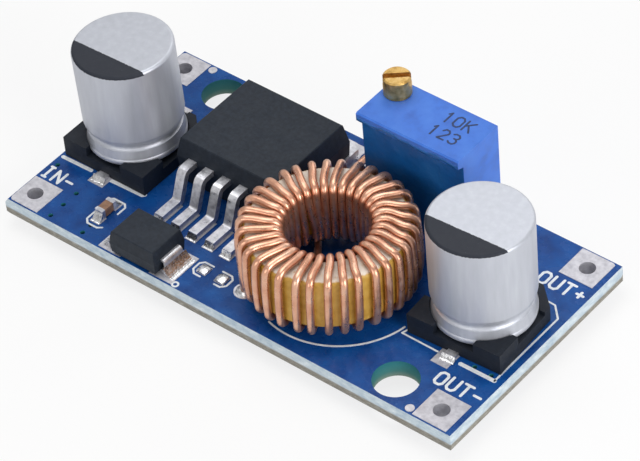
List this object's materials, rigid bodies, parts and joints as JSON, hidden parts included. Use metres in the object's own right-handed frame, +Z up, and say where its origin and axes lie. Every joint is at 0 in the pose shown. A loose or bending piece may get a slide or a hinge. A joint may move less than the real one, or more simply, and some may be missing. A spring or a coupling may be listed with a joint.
{
  "type": "buck converter module",
  "caption": "Small flat circuit board carrying upright can capacitors, a regulator, a wire-wound ring inductor and a screw-adjusted trimmer that sets a lower output voltage.",
  "frame": {"origin": "centre of the circuit board's underside", "axes": "+X along the board from the input end to the output end, +Y across it towards the edge with the two plus terminals and the trimmer, +Z up from the board through the parts"},
  "size_m": [0.0436, 0.0216, 0.0142],
  "materials": {
    "board_laminate": "glossy blue solder mask on glass-epoxy laminate",
    "tinned_copper": "thin matt tin on copper",
    "black_plastic": "matt black moulded plastic",
    "can_aluminium": "satin drawn aluminium",
    "tinned_lead": "satin tin plating",
    "moulded_epoxy": "matt black moulding compound",
    "coated_powder_core": "yellow epoxy paint with a white top face",
    "enamelled_copper": "copper under clear enamel",
    "blue_plastic": "satin blue moulded plastic",
    "screw_brass": "turned brass",
    "seal_rubber": "soft black rubber",
    "white_plastic": "natural white plastic",
    "ceramic": "unglazed white ceramic",
    "blue_resin": "dark blue cast epoxy",
    "ceramic_brown": "satin brown ceramic",
    "solder": "bright solder"
  },
  "bodies": {
    "module": {"circuit_board": "board_laminate", "terminal_pads": "tinned_copper", "inductor_eyelets": "tinned_copper", "trimmer_eyelets": "tinned_copper", "component_pads": "tinned_copper", "input_capacitor_base": "black_plastic", "input_capacitor_can": "can_aluminium", "input_capacitor_leads": "tinned_lead", "output_capacitor_base": "black_plastic", "output_capacitor_can": "can_aluminium", "output_capacitor_leads": "tinned_lead", "regulator_body": "moulded_epoxy", "regulator_tab": "tinned_lead", "regulator_leads": "tinned_lead", "diode_body": "moulded_epoxy", "diode_terminals": "tinned_lead", "inductor_core": "coated_powder_core", "inductor_winding": "enamelled_copper", "trimmer_housing": "blue_plastic", "trimmer_seal": "seal_rubber", "trimmer_element": "ceramic", "trimmer_pins": "tinned_lead", "trimmer_potting": "blue_resin", "chip_capacitor_body": "ceramic_brown", "chip_capacitor_ends": "tinned_lead", "feedback_resistor_body": "moulded_epoxy", "feedback_resistor_ends": "tinned_lead", "solder_joints": "solder"},
    "adjusting_screw": {"trimmer_screw": "screw_brass"},
    "wiper_wheel": {"trimmer_wheel": "white_plastic", "trimmer_wiper": "screw_brass"}
  },
  "joints": [
    {"name": "screw_turn", "type": "hinge", "parent": "module", "child": "adjusting_screw", "pos_m": [0.00312, 0.00778, 0.013], "axis": [0, 0, 1], "range_deg": [-4500, 4500]},
    {"name": "wheel_turn", "type": "hinge", "parent": "module", "child": "wiper_wheel", "pos_m": [0.00662, 0.0078, 0.0067], "axis": [0, 1, 0], "range_deg": [-150, 150]}
  ],
  "couplings": [
    {"joint": "wheel_turn", "follows": "screw_turn", "ratio": -0.033333}
  ]
}
